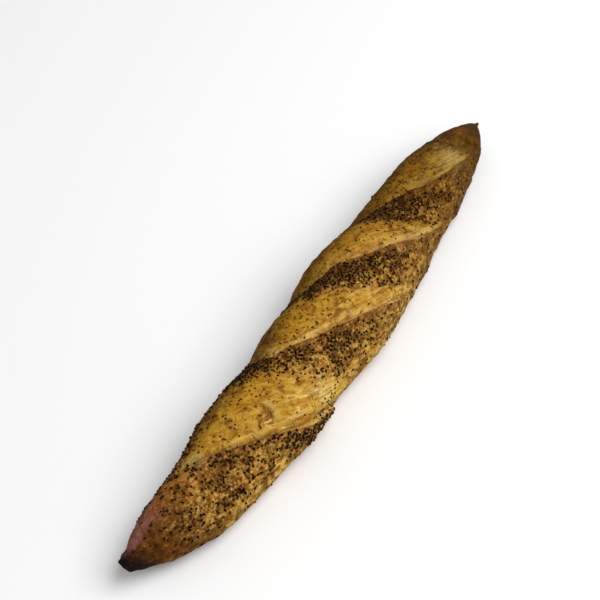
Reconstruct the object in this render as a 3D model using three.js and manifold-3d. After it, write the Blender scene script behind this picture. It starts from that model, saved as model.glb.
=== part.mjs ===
// A seeded baguette: a long loaf with pointed ends, slashed four times slantwise across its
// top before baking. Each slash opened in the oven. Behind it stands an ear, the sharp raised
// lip of the crust that was cut, and past the ear the bare dough swelled up and baked golden.
// Poppy seeds stick to the crust that was rolled in them, between the slashes.
// Units are millimetres. X runs along the loaf, Z is up, and the loaf lies on its flat sole.

import * as THREE from 'three';
import { MeshSurfaceSampler } from 'three/addons/math/MeshSurfaceSampler.js';
import { mergeVertices } from 'three/addons/utils/BufferGeometryUtils.js';
import Module from 'manifold-3d';

const wasm = await Module();
wasm.setup();

// ---- Driving dimensions ----

const loafLength = 400;
const loafWidth = 60;
const loafHeight = 44.5;

// The plan of the loaf, a little crooked from hand rolling: [place along the loaf, reach toward
// +Y, reach toward -Y], as shares of the length and of half the width.
const plan = [
  [0, 0.39, -0.08], [0.02, 0.43, 0.1], [0.07, 0.55, 0.53], [0.15, 0.6, 0.87], [0.22, 0.66, 0.95],
  [0.31, 0.68, 1.14], [0.4, 0.71, 1.03], [0.51, 0.81, 1.15], [0.62, 0.87, 0.99], [0.72, 0.8, 0.77],
  [0.84, 0.87, 0.56], [0.93, 0.65, 0.29], [0.98, 0.38, -0.06], [0.99, 0.28, -0.15], [1, 0.22, -0.17],
];

const tipRound = 2.5;      // how far from its end a tip rounds over
const tipLift = 11;        // how high the underside of a tip is off the table
const soleReach = 0.34;    // the flat sole reaches this share of the length from the middle

// Across the loaf the top is a full arch and the flanks tuck in under it to the flat sole.
const bellyShare = 0.42;   // share of the height that lies below the widest line
const archPower = 0.95;
const bellyPower = 0.7;
const soleCut = 1.14;      // how much deeper the belly would be if the sole didn't cut it flat

// ---- The slashes ----

// Angles go round the loaf in degrees: 0 is the top line, 90 the flank on the -Y side. At each of
// them "ear" is the place along the loaf where the ear crosses, "open" is how far past it the
// dough swells, and "bare" how far it has no seeds. A slash runs from one of its "ends" to the
// other, and its bare dough shows between the angles "shows".
const angles = [-100, -60, -20, 20, 60, 100];
const slashes = [
  {
    ear: [-172, -156, -138, -115, -86, -50],
    open: [84, 88, 76, 50, 36, 20],
    bare: [50, 66, 69, 57, 37, 13],
    ends: [-75, 110],
    shows: [-52, 100],
  },
  {
    ear: [-83, -64, -56, -22, 19, 43],
    open: [56, 58, 60, 36, 20, 14],
    bare: [38, 46, 52, 34, 12, 8],
    ends: [-84, 94],
    shows: [-84, 76],
  },
  {
    ear: [-44, -12, 17, 48, 84, 110],
    open: [66, 68, 56, 30, 14, 8],
    bare: [52, 60, 46, 28, 9, 6],
    ends: [-86, 90],
    shows: [-86, 74],
  },
  {
    ear: [21, 54, 86, 117, 164, 176],
    open: [80, 86, 53, 39, 12, 6],
    bare: [80, 84, 58, 34, 12, 6],
    ends: [-82, 52],
    shows: [-72, 54],
  },
];
const fadeAngle = 16;      // a slash dies out over this many degrees at each end
const earHeight = 2.9;     // the ear above the crust around it
const earFade = [-50, -5];   // toward +Y the ear sinks into the crust between these angles
const earRoot = 13;        // how far back along the loaf the crust starts to rise to the ear
const footDepth = 2.6;     // the groove at the foot of the ear
const footReach = 8;       // how fast the groove fills, going away from the ear
const doughSwell = 2.4;    // the dough above the loaf's own line
const swellLean = 0.8;     // under 1, the dough stands highest on the ear's side of its middle

// ---- Poppy seeds ----

const seedSize = new THREE.Vector3(1.1, 0.85, 0.75);   // half sizes of the largest seed
const smallestSeed = 0.8;  // as a share of the largest
const seedCount = 170;
const seedGap = 7;         // no two seeds are nearer than this
const seedSunk = 0.3;      // share of a seed's own height that is baked into the crust
const seedReach = 0.48 * loafLength;   // the very tips have none
const seedAngles = [-96, 104];
const thinSeedAngle = 84;  // the lower flank toward -Y caught few seeds
const thinSeedShare = 0.3;
const seedOfChance = 7;    // another number scatters the seeds another way

// ---- The mesh ----

const pointsAround = 34;
const ringsInGaps = [17, 13, 13, 13, 17];   // from tip to ear, from ear to ear, and to the tip
const weldDistance = 1e-4;

const upward = new THREE.Vector3(0, 0, 1);

const crustMaterial = new THREE.MeshStandardMaterial({
  name: 'baked_crust',
  color: new THREE.Color(0.52, 0.3, 0.1),
  roughness: 0.6,
  metalness: 0,
});

// ---- Curves ----

// A smooth curve through [place, value] pairs that never swings past them.
function curveThrough(pairs) {
  const places = pairs.map((pair) => pair[0]);
  const values = pairs.map((pair) => pair[1]);
  const slopes = values.slice(1).map((value, i) => (value - values[i]) / (places[i + 1] - places[i]));
  const tangents = values.map((value, i) => {
    const before = slopes[Math.max(i - 1, 0)];
    const after = slopes[Math.min(i, slopes.length - 1)];
    return before * after <= 0 ? 0 : 2 * before * after / (before + after);
  });
  return (place) => {
    let i = 0;
    while (i < places.length - 2 && place > places[i + 1]) i += 1;
    const span = places[i + 1] - places[i];
    const u = THREE.MathUtils.clamp((place - places[i]) / span, 0, 1);
    const rise = u * u * (3 - 2 * u);
    const bend = tangents[i] * (u - 2 * u * u + u * u * u) + tangents[i + 1] * (u * u * u - u * u);
    return values[i] + (values[i + 1] - values[i]) * rise + bend * span;
  };
}

// The same for values that go round the loaf: under the sole they run back to where they began.
function curveRound(values) {
  const back = [angles[0] + 360, values[0]];
  const curve = curveThrough([...angles.map((angle, i) => [angle, values[i]]), back]);
  return (angle) => curve(THREE.MathUtils.euclideanModulo(angle - angles[0], 360) + angles[0]);
}

const reachFar = curveThrough(plan.map(([place, far]) => [place, far * loafWidth / 2]));
const reachNear = curveThrough(plan.map(([place, , near]) => [place, near * loafWidth / 2]));
const cuts = slashes.map((slash) => ({
  ...slash,
  earAt: curveRound(slash.ear),
  openAt: curveRound(slash.open),
  bareAt: curveRound(slash.bare),
}));

// ---- The form of the loaf ----

// 1 along a cut, 0 past its two ends.
function strength([from, to], angle) {
  const start = THREE.MathUtils.smoothstep(angle, from, from + fadeAngle);
  const end = THREE.MathUtils.smoothstep(angle, to - fadeAngle, to);
  return start * (1 - end);
}

// How far the surface stands above the plain loaf: up to the ear, down at its foot, then the dough.
function relief(x, angle) {
  let height = 0;
  for (const cut of cuts) {
    const past = x - cut.earAt(angle);
    const share = past / cut.openAt(angle);
    if (past <= 0) {
      const ear = earHeight * THREE.MathUtils.smoothstep(angle, ...earFade);
      height += strength(cut.ends, angle) * ear * Math.exp(-((past / earRoot) ** 2));
    } else if (share < 1) {
      const dough = doughSwell * Math.sin(Math.PI * share ** swellLean);
      const foot = footDepth * Math.exp(-past / footReach) * (1 - share);
      height += strength(cut.ends, angle) * (dough - foot);
    }
  }
  return height;
}

// How thickly seeds lie: 1 on the crust, 0 on bare dough and under the loaf, thin low on its side.
function seeding(x, angle) {
  if (angle < seedAngles[0] || angle > seedAngles[1] || Math.abs(x) > seedReach) return 0;
  let share = angle > thinSeedAngle ? thinSeedShare : 1;
  for (const cut of cuts) {
    const past = x - cut.earAt(angle);
    if (past > 0 && past < cut.bareAt(angle)) share *= 1 - strength(cut.shows, angle);
  }
  return share;
}

function surfacePoint(x, angle) {
  const along = x / loafLength + 0.5;
  const turn = THREE.MathUtils.degToRad(angle);
  const half = (reachFar(along) + reachNear(along)) / 2;
  const spine = (reachFar(along) - reachNear(along)) / 2;
  const tall = half * 2 * loafHeight / loafWidth;
  const fromTip = Math.min(1, (loafLength / 2 - Math.abs(x)) / tipRound);
  const round = Math.sqrt(Math.max(0, 1 - (1 - fromTip) ** 2));
  const rise = THREE.MathUtils.clamp((Math.abs(along - 0.5) - soleReach) / (0.5 - soleReach), 0, 1);
  const sole = tipLift * rise ** 2;
  const middle = sole + bellyShare * tall;
  const lift = relief(x, angle);
  const side = Math.sign(Math.sin(turn)) * Math.abs(Math.sin(turn)) ** archPower;
  const y = spine - round * (half + lift) * side;
  const level = Math.abs(Math.cos(turn));
  const up = ((1 - bellyShare) * tall + lift) * level ** archPower;
  const down = bellyShare * soleCut * tall * level ** bellyPower;
  const z = middle + round * (Math.cos(turn) > 0 ? up : -down);
  return new THREE.Vector3(x, y, Math.max(z, sole));
}

// ---- The skin: rings that follow the ears ----

// The gaps between the tips and the ears are shared out into rings, closer together at both ends
// of a gap, so an ear is always one whole ring with its foot just behind it.
function ringList() {
  const edges = [() => -loafLength / 2, ...cuts.map((cut) => cut.earAt), () => loafLength / 2];
  const rings = [edges[0]];
  ringsInGaps.forEach((count, gap) => {
    for (let i = 1; i <= count; i += 1) {
      const share = (1 - Math.cos(Math.PI * i / count)) / 2;
      rings.push((angle) => THREE.MathUtils.lerp(edges[gap](angle), edges[gap + 1](angle), share));
    }
  });
  return rings;
}

// A sphere gives the closed net, and each of its points goes to its ring and angle on the loaf.
function loafGeometry() {
  const rings = ringList();
  const geometry = new THREE.SphereGeometry(1, pointsAround, rings.length - 1);
  const place = geometry.attributes.position;
  const net = geometry.attributes.uv;
  const seeded = new THREE.BufferAttribute(new Float32Array(place.count), 1);
  for (let i = 0; i < place.count; i += 1) {
    const ring = rings[Math.round((1 - net.getY(i)) * (rings.length - 1))];
    const column = Math.round(net.getX(i) * pointsAround);
    const angle = 180 - 360 * column / pointsAround;
    const point = surfacePoint(ring(angle), angle);
    place.setXYZ(i, point.x, point.y, point.z);
    seeded.setX(i, seeding(ring(angle), angle));
  }
  geometry.setAttribute('seeding', seeded);
  return closed(geometry);
}

// ---- Solids ----

function closed(geometry) {
  geometry.deleteAttribute('normal');
  geometry.deleteAttribute('uv');
  return mergeVertices(geometry, weldDistance);
}

function solidOf(geometry) {
  const vertProperties = new Float32Array(geometry.attributes.position.array);
  const triVerts = new Uint32Array(geometry.index.array);
  return new wasm.Manifold(new wasm.Mesh({ numProp: 3, vertProperties, triVerts }));
}

function geometryOf(solid) {
  const mesh = solid.getMesh();
  const geometry = new THREE.BufferGeometry();
  geometry.setAttribute('position', new THREE.BufferAttribute(mesh.vertProperties, 3));
  geometry.setIndex(new THREE.BufferAttribute(mesh.triVerts, 1));
  return geometry;
}

// ---- Seeds ----

// Seeds fall at random on the crust, each one clear of the seeds that already lie there.
function seedPlaces(skin) {
  const sampler = new MeshSurfaceSampler(new THREE.Mesh(skin));
  sampler.setWeightAttribute('seeding').setRandomGenerator(() => THREE.MathUtils.seededRandom()).build();
  const places = [];
  while (places.length < seedCount) {
    const point = new THREE.Vector3();
    const outward = new THREE.Vector3();
    sampler.sample(point, outward);
    const crowded = places.some((other) => other.point.distanceTo(point) < seedGap);
    if (!crowded) places.push({ point, outward });
  }
  return places;
}

function seedGeometry({ point, outward }) {
  const size = THREE.MathUtils.lerp(smallestSeed, 1, THREE.MathUtils.seededRandom());
  const geometry = new THREE.IcosahedronGeometry(size, 0);
  geometry.scale(seedSize.x, seedSize.y, seedSize.z);
  geometry.rotateZ(THREE.MathUtils.seededRandom() * 2 * Math.PI);
  geometry.applyQuaternion(new THREE.Quaternion().setFromUnitVectors(upward, outward));
  const stand = point.clone().addScaledVector(outward, size * seedSize.z * (1 - 2 * seedSunk));
  geometry.translate(stand.x, stand.y, stand.z);
  return closed(geometry);
}

// ---- The loaf ----

THREE.MathUtils.seededRandom(seedOfChance);
const skin = loafGeometry();
let loafSolid = solidOf(skin);
for (const place of seedPlaces(skin)) {
  loafSolid = loafSolid.add(solidOf(seedGeometry(place)));
}

const loaf = new THREE.Mesh(geometryOf(loafSolid), crustMaterial);
loaf.name = 'loaf';
loaf.geometry.computeBoundingBox();
const box = loaf.geometry.boundingBox;
loaf.geometry.translate(-(box.min.x + box.max.x) / 2, -(box.min.y + box.max.y) / 2, -box.min.z);

const baguette = new THREE.Group();
baguette.add(loaf);

export default baguette;
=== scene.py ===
# %% [markdown]
# # A seeded baguette
#
# This lesson dresses one loaf of bread: a long baguette that was rolled in poppy seeds, slashed
# four times slantwise and baked until it was golden. The CAD model gives its size and its main
# form. Here the crust gets its real surface: sharp ears, torn golden dough, small wrinkles,
# browning that changes from place to place, and a couple of thousand seeds that stick to it.
#
# The frame is loaded first. It says where the loaf lies and how large it may be.

import math

import bpy
import numpy as np
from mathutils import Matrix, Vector, kdtree


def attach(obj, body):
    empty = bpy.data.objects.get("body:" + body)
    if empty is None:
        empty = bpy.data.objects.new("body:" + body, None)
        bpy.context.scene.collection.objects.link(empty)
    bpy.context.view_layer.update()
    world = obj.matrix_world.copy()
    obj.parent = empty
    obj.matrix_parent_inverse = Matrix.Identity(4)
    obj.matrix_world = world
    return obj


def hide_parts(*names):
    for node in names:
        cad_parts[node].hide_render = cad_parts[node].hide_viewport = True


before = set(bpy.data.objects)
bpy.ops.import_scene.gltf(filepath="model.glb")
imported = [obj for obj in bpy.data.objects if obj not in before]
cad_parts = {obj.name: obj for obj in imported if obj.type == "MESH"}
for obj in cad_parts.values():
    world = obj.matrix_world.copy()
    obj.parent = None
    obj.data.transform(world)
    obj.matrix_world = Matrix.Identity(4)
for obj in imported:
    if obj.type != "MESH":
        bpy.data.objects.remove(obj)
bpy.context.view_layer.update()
MM = 0.001

# %% [markdown]
# ## The plan of the loaf
#
# The baker rolled the dough under both hands, so the loaf swells and narrows a little, and it is
# not quite straight. A stretched sphere would be too even. So the plan is kept as a table of how
# far the loaf reaches toward +Y and toward -Y, from one tip to the other.
#
# The tips are not alike. The one toward -X was cut off slantwise, so its upper edge stands out.
# The one toward +X was rolled to a point, and its last pinch of dough dried to a small nub. All
# lengths in this lesson are in millimetres until the mesh is written.

# %% Sizes of the loaf
LENGTH = 400
WIDTH = 60
HEIGHT = 44.5
PLAN = [    # place from 0 to 1, and the reach toward +Y and toward -Y in half widths
    (0, 0.39, -0.08), (0.02, 0.43, 0.1), (0.07, 0.55, 0.53), (0.15, 0.6, 0.87),
    (0.22, 0.66, 0.95), (0.31, 0.68, 1.14), (0.4, 0.71, 1.03), (0.51, 0.81, 1.15),
    (0.62, 0.87, 0.99), (0.72, 0.8, 0.77), (0.84, 0.87, 0.56), (0.93, 0.65, 0.29),
    (0.98, 0.38, -0.06), (0.99, 0.28, -0.15), (1, 0.22, -0.17),
]
PLACES, FAR_SIDE, NEAR_SIDE = zip(*PLAN)

SOLE_REACH = 0.34      # the flat sole reaches this share of the length from the middle
SOLE_CUT = 1.14        # how much deeper the belly would be if the sole didn't cut it flat
BELLY_SHARE = 0.42     # share of the height below the widest line
BELLY_POWER = 0.7      # how square the flanks tuck in under the loaf
ARCH_POWER = 0.95      # how full the arch of the top is

TIP_LIFT = 11          # how high the underside of a tip is off the table
TIP_ROUND = 1.8        # the +X tip rounds over within this distance of its end
STUB_ROUND = 0.6       # the -X tip was cut off blunt and rounds over much faster
TIP_CUT = (0.29, -0.64)    # its end shifts this much for each millimetre of y and of z
TIP_CUT_BAND = (14, 1)     # the cut takes hold between these distances from the end
TIP_EXTRA = 1.0        # the cut end stands this much further out
BLUNT_END = 5          # the +X tip is squashed a little over this length
BLUNT = 0.5            # and loses this share of it
NUB_LENGTH = 1.7       # the nub stands out this far from that tip
NUB_ROOT = 2.0         # it starts this far from the end
NUB_RISE = 0.3         # and turns up by this share of its length

widest = max(far + near for far, near in zip(FAR_SIDE, NEAR_SIDE)) * WIDTH / 2
print("widest:", round(widest, 1), "mm")

# %% [markdown]
# ## Smooth curves
#
# The table gives the loaf at a few places only, and two helpers fill in the rest. The first
# draws a curve through the values. A plain spline would swing past them and add waves that the
# loaf doesn't have, so each point's slope is held back to what its neighbours allow. The second
# is an even S-curve, which fades one thing into another without a kink.

# %% Curves through a table
def curve_through(places, values, at):
    """A smooth curve through values at places that never swings past them."""
    places, values = np.array(places, float), np.array(values, float)
    slopes = np.diff(values) / np.diff(places)
    before = np.concatenate([slopes[:1], slopes])
    after = np.concatenate([slopes, slopes[-1:]])
    same_way = before * after > 0
    tangents = np.where(same_way, 2 * before * after / np.where(same_way, before + after, 1), 0)
    i = np.clip(np.searchsorted(places, at) - 1, 0, len(places) - 2)
    span = places[i + 1] - places[i]
    u = np.clip((at - places[i]) / span, 0, 1)
    rise = u * u * (3 - 2 * u)
    bend = tangents[i] * (u - 2 * u**2 + u**3) + tangents[i + 1] * (u**3 - u**2)
    return values[i] + (values[i + 1] - values[i]) * rise + bend * span


def smooth_step(value, start, end):
    """0 up to start, 1 from end, and an even S-curve in between."""
    t = np.clip((value - start) / (end - start), 0, 1)
    return t * t * (3 - 2 * t)


middle = [float(curve_through(PLACES, side, 0.5)) * WIDTH / 2 for side in (FAR_SIDE, NEAR_SIDE)]
print("half way along, it reaches", [round(reach, 1) for reach in middle], "mm to its two sides")

# %% [markdown]
# ## The four slashes
#
# A baker's blade cuts the skin of the loaf at a slant and nearly flat. In the oven the skin on one
# side of the cut lifts into a sharp, thin ear, and the dough on the other side swells out from
# under it. Further on, that dough runs smoothly into the seeded crust before the next slash.
#
# So a slash is described by its ear. Angles go round the loaf in degrees, 0 on the top line and
# 90 on the flank toward -Y. Four lists have one value for each of ANGLES: "ear" is where the ear
# crosses that angle, along the loaf, "open" is how far past the ear the dough swells, "bare" is
# how far past it the dough is free of seeds, and "strip" is how far before it the seeds are few.
#
# Three pairs are angles. The slash runs between "ends", its golden dough shows between "shows",
# and between "low" the ear thins out. "glow" is how pale the dough is near the ear. The last
# three are for the side toward +Y: "far_lean" moves the top of the dough away from the ear's
# line, "notch" is how far the loaf is drawn in along that line, and the third is how thickly the
# seeds piled up before it, which also sets the painted shade on the crust there.

# %% The slashes
ANGLES = [-100, -60, -20, 20, 60, 100]
SLASHES = [
    {
        "ear": [-172, -156, -138, -113, -83, -48],
        "open": [84, 88, 76, 50, 36, 20],
        "bare": [50, 66, 69, 59, 40, 16],
        "strip": [0, 0, 1, 1, 0, 0],
        "ends": [-75, 110],
        "shows": [-52, 100],
        "low": [96, 112],
        "glow": 0.35,
        "far_lean": 1.55,
        "notch": 0.0,
        "pile_and_shade": 0.0,
    },
    {
        "ear": [-83, -64, -56, -20, 21, 45],
        "open": [56, 58, 60, 36, 20, 14],
        "bare": [38, 46, 52, 34, 12, 8],
        "strip": [0, 0, 1, 5, 13, 20],
        "ends": [-84, 94],
        "shows": [-84, 76],
        "low": [36, 70],
        "glow": 1.0,
        "far_lean": 1.2,
        "notch": 0.1,
        "pile_and_shade": 0.6,
    },
    {
        "ear": [-44, -12, 17, 50, 86, 112],
        "open": [66, 68, 56, 30, 14, 8],
        "bare": [52, 60, 46, 28, 9, 6],
        "strip": [0, 0, 1, 6, 30, 40],
        "ends": [-86, 90],
        "shows": [-86, 74],
        "low": [36, 70],
        "glow": 0.9,
        "far_lean": 1.1,
        "notch": 1.1,
        "pile_and_shade": 1.0,
    },
    {
        "ear": [21, 54, 86, 119, 166, 178],
        "open": [80, 86, 53, 39, 12, 6],
        "bare": [80, 84, 58, 34, 12, 6],
        "strip": [0, 0, 1, 12, 55, 60],
        "ends": [-82, 52],
        "shows": [-72, 54],
        "low": [30, 60],
        "glow": 0.6,
        "far_lean": 1.15,
        "notch": 1.5,
        "pile_and_shade": 0.8,
    },
]
FADE_ANGLE = 16        # a slash dies out over this many degrees at each end


def curve_round(values, angle):
    """A smooth curve through values at ANGLES, which under the sole runs back to its start."""
    turned = (angle - ANGLES[0]) % 360 + ANGLES[0]
    return curve_through(ANGLES + [ANGLES[0] + 360], values + values[:1], turned)


def along_slash(ends, angle):
    """1 along a slash, 0 past its two ends."""
    start = smooth_step(angle, ends[0], ends[0] + FADE_ANGLE)
    return start * (1 - smooth_step(angle, ends[1] - FADE_ANGLE, ends[1]))


leans = [(slash["ear"][-1] - slash["ear"][0]) / (ANGLES[-1] - ANGLES[0]) for slash in SLASHES]
print("slashes lean by", [round(lean, 2) for lean in leans], "mm for each degree")

# %% [markdown]
# ## Unevenness
#
# No edge of bread is a clean line. A small grid of random heights, blended smoothly between its
# points, gives a soft wavering value for any pair of coordinates. With one coordinate stretched
# it draws long streaks, which is how torn dough looks. The random numbers are seeded, so the loaf
# comes out the same each time. Each use has its own seed, the last number of the call, so that no
# two patterns are alike.

# %% A soft random field
FIELD_SIZE = 128


def wavering(u, v, seed):
    """Soft random hills from -1 to 1, one hill for each unit of u and v."""
    heights = np.random.default_rng(seed).uniform(-1, 1, (FIELD_SIZE, FIELD_SIZE))
    i, j = np.floor(u).astype(int), np.floor(v).astype(int)
    a, b = u - i, v - j
    a, b = a * a * (3 - 2 * a), b * b * (3 - 2 * b)
    i0, i1 = i % FIELD_SIZE, (i + 1) % FIELD_SIZE
    j0, j1 = j % FIELD_SIZE, (j + 1) % FIELD_SIZE
    near = heights[i0, j0] * (1 - b) + heights[i0, j1] * b
    far = heights[i1, j0] * (1 - b) + heights[i1, j1] * b
    return near * (1 - a) + far * a


print("field of", FIELD_SIZE, "by", FIELD_SIZE, "random heights")

# %% [markdown]
# ## The skin as a net
#
# The crust could be sculpted by hand, but then the ears would be only as sharp as the net below
# them. So the net is laid to fit: a sphere primitive has closed rings and columns, and each ring
# is moved to its place on the loaf. The rings between two ears share out the gap between them, so
# each ear is one whole ring and its edge stays crisp. The columns stand closer together over the
# top, which is seen, than under the sole.
#
# An ear leans over the dough behind it. Its ring therefore stands a little back from the line
# where the edge ends up.

# %% Where each ring and column goes
COLUMNS = 232
RINGS_IN_GAPS = [96, 78, 78, 78, 78]   # from tip to ear, from ear to ear, and to the other tip
CROWDING = 0.6          # 0 spreads the rings evenly, 1 crowds them most against the ears
TOP_CROWDING = 0.28     # the same for the columns, crowded toward the top line
EAR_FADE = (-50, -5)    # toward +Y the ear sinks into the crust between these angles
EAR_BACK = 3.2          # how far the ear's ring stands back
EAR_WAVER = 1.0         # how far the ear's edge strays along the loaf
EAR_WAVE = 17           # the degrees from one bend of the edge to the next
EAR_RIPPLE = (0.3, 4)   # the share of its small ripples, and their degrees


def ear_back(angle):
    """How far back the ear's ring stands, none toward +Y where there is no ear."""
    return EAR_BACK * smooth_step(angle, *EAR_FADE)


def ear_line(number, angle):
    """Where an ear's ring crosses the angles, with the small wandering of a torn edge."""
    share, width = EAR_RIPPLE
    stray = wavering(angle / EAR_WAVE, 3.0 * number + 0 * angle, 11)
    stray = stray + share * wavering(angle / width, 0 * angle, 12)
    return curve_round(SLASHES[number]["ear"], angle) - ear_back(angle) + EAR_WAVER * stray


def ring_places(angle):
    """The place along the loaf of every ring at the given angles, from -X to +X."""
    ends = [-LENGTH / 2 + 0 * angle, LENGTH / 2 + 0 * angle]
    edges = [ends[0], *(ear_line(n, angle) for n in range(len(SLASHES))), ends[1]]
    rings = [edges[0]]
    for gap, count in enumerate(RINGS_IN_GAPS):
        even = np.arange(1, count + 1) / count
        crowded = (1 - np.cos(math.pi * even)) / 2
        for share in even * (1 - CROWDING) + crowded * CROWDING:
            rings.append(edges[gap] * (1 - share) + edges[gap + 1] * share)
    return np.array(rings)


columns = np.arange(COLUMNS) / COLUMNS * 360 - 180
column_angles = columns - TOP_CROWDING * 180 / math.pi * np.sin(np.radians(columns))
print("rings:", sum(RINGS_IN_GAPS) + 1, "columns:", COLUMNS)

# %% [markdown]
# ## Torn dough
#
# The dough behind an ear tore open slowly while it rose, and that left long folds which run
# beside the ear, deepest near it. Bump in the material could suggest them, but they are a
# millimetre deep and cast shadows, so the net itself is raised. Each fold is a hill of the
# wavering field, drawn out along the ear and bent a little from side to side.

# %% The folds behind an ear
FOLD_HEIGHT = 1.5       # how high a fold stands
FOLD_WIDTH = 4.4        # half a fold, from crest to hollow
FOLD_TURN = 22          # how many degrees a fold runs before it dies out
FOLD_BEND = 3.0         # how far a fold wanders sideways
BEND_TURN, BEND_WIDTH = 16, 14   # and over how many degrees and millimetres
FINE_FOLDS = (0.45, 2.1)         # how high the fine folds are, and how much narrower
FOLD_FADE = 22          # the folds get shallower over this distance from the ear
FOLD_LEFT = 0.35        # down to this share of their height
CALM_ANGLES = (40, 66)  # low on the flank toward -Y they also get shallower
CALM_LOSS = 0.8         # by this share


def past_ear(number, x, angle):
    """How far a point lies past an ear, along the loaf."""
    return x - ear_line(number, angle)


def folds(number, past, angle):
    """The folds of torn dough behind an ear, from about -1 to 1."""
    part = 20 * number    # each slash has its own part of the field
    bent = past + FOLD_BEND * wavering(angle / BEND_TURN + 7 * number, past / BEND_WIDTH, 24)
    long = wavering(bent / FOLD_WIDTH + part, angle / FOLD_TURN, 22)
    share, finer = FINE_FOLDS
    short = wavering(finer * bent / FOLD_WIDTH + part, 2 * angle / FOLD_TURN, 23)
    smooth = 1 - CALM_LOSS * smooth_step(angle, *CALM_ANGLES)
    fading = FOLD_LEFT + (1 - FOLD_LEFT) * np.exp(-np.maximum(past, 0) / FOLD_FADE)
    return (long + share * short) * fading * smooth


print("folds about", 2 * FOLD_WIDTH, "mm wide and up to", FOLD_HEIGHT, "mm high")

# %% [markdown]
# ## Marks of handling
#
# The baker's hands and the folds of the proofing cloth left soft bulges and dents in the flanks.
# On the finished loaf they are easy to miss from above, but they make its outline lively. Each
# one is a soft round spot, raised or lowered.
#
# In the middle of the first slash the dough tore once more, in a small curl. That tear is a
# groove on an arc, with a raised edge outside it.

# %% Bulges, dents and a curled tear
HAND_MARKS = [    # place, angle, their reaches, and how far the flank bulges or is dented
    (-183, 112, 8, 26, 0.7), (-118, 112, 13, 24, 1.4), (-68, 108, 9, 20, 0.6),
    (66, 112, 13, 24, 1.1), (124, 112, 6, 22, 1.5),
    (-194, -65, 8, 30, -0.8), (-125, -65, 12, 24, -1.2), (57, -65, 9, 22, -1.2),
    (186, -65, 9, 30, -0.6),
]
CREASE = (-90.2, 9.5)   # place and angle of the curled tear
CREASE_BEND = 14        # the radius of its curl
CREASE_LONG = 11        # how far it runs
CREASE_ENDS = (3, 1)    # it dies out from this far inside each end to this far outside
CREASE_DEPTH = 1.0
CREASE_WIDTH = 0.9      # half the width of its groove
CREASE_LIP = 0.4        # its raised edge, as a share of the depth
LIP_OUT, LIP_WIDTH = 2.6, 1.2    # how far outside the groove that edge is, and half its width
MM_PER_DEGREE = 0.52    # how far one degree round the loaf is on its skin


def spot(x, angle, place, turn, reach, turn_reach):
    """1 in the middle of a soft round spot on the skin, fading to 0 around it."""
    return np.exp(-(((x - place) / reach) ** 2) - ((angle - turn) / turn_reach) ** 2)


def crease(x, angle):
    """The curled tear: 1 in its groove on an arc, and 1 on the raised edge outside it."""
    u, v = x - CREASE[0] + CREASE_BEND, (angle - CREASE[1]) * MM_PER_DEGREE
    out = np.hypot(u, v) - CREASE_BEND
    inside, outside = CREASE_ENDS
    begun = smooth_step(v, -inside, outside)
    part = begun * (1 - smooth_step(v, CREASE_LONG - inside, CREASE_LONG + outside)) * (u > 0)
    groove = part * np.exp(-((out / CREASE_WIDTH) ** 2))
    return groove, part * np.exp(-(((out - LIP_OUT) / LIP_WIDTH) ** 2))


print("marks on the flanks:", len(HAND_MARKS))

# %% [markdown]
# ## The relief of ears and dough
#
# Going along the loaf toward a slash, the crust rises to the ear, whose edge leans over. Right
# behind the edge the surface drops to the foot, and from there the dough swells up again. The
# ear's height and its edge waver a little from place to place.
#
# On the side toward +Y the ear has sunk into the crust. The dough only swells there, a bit
# higher and further on, and it can leave a shallow notch where the ear's line runs down the flank.

# %% The height of the surface above the plain loaf
EAR_HEIGHT = 2.9        # the ear above the crust around it
EAR_ROOT = 13           # how far back the crust starts to rise to the ear
EAR_RAGGED = (0.3, 11)  # the share by which its height wavers, and over how many degrees
EAR_THIN = 0.8          # between the angles "low" it loses this share of its height
LIP_DROP = 1.6          # the face of the ear drops to its foot within this distance
LIP_LEAN = 1.5          # how far the ear's edge leans over the foot
LIP_THIN = 3.0          # how far back from its edge the ear leans
LIP_UPRIGHT = 0.8       # low on the flank toward -Y it leans less, by this share
UPRIGHT_ANGLES = (55, 85)    # which is reached between these angles
FOOT_DEPTH = 2.6        # the groove at the foot of the ear
FOOT_REACH = 8          # how fast the groove fills, going away from the ear
DOUGH_SWELL = 2.4       # the dough above the loaf's own line
SWELL_LEAN = 0.8        # under 1, it stands highest on the ear's side of its middle
LOW_ANGLES = (48, 80)   # low on the flank toward -Y
LOW_SINK = 0.62         # this share of the swell is missing
FAR_ANGLES = (-50, -12)    # between these angles the side toward +Y begins
FAR_SWELL = 0.6         # where the dough stands this much higher
FAR_SMOOTH = 0.6        # where its folds lose this share
FAR_NOTCH_WIDTH = 11    # and half the width of the notch
ON_EDGE = 1e-6          # a point that is this near to the ear's line lies on it


def ear_height(number, angle):
    """How high an ear stands at each angle."""
    share, width = EAR_RAGGED
    ragged = 1 + share * wavering(angle / width, angle * 0 + 5 * number, 21)
    ear = EAR_HEIGHT * smooth_step(angle, *EAR_FADE) * ragged
    return ear * (1 - EAR_THIN * smooth_step(angle, *SLASHES[number]["low"]))


def dough_height(number, past, share, angle, far):
    """How high the swollen dough and the groove at its foot stand, share of the way across."""
    slash = SLASHES[number]
    lean = SWELL_LEAN + (slash["far_lean"] - SWELL_LEAN) * far
    low = 1 - LOW_SINK * smooth_step(angle, *LOW_ANGLES)
    dough = (DOUGH_SWELL * low + FAR_SWELL * far) * np.sin(math.pi * share**lean)
    folded = (0.5 + 0.5 * slash["glow"]) * (1 - FAR_SMOOTH * far)
    dough += FOLD_HEIGHT * folded * folds(number, past, angle) * np.sin(math.pi * share) ** 0.5
    foot = FOOT_DEPTH * np.exp(-np.maximum(past, 0) / FOOT_REACH) * (1 - share)
    return dough - foot


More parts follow.
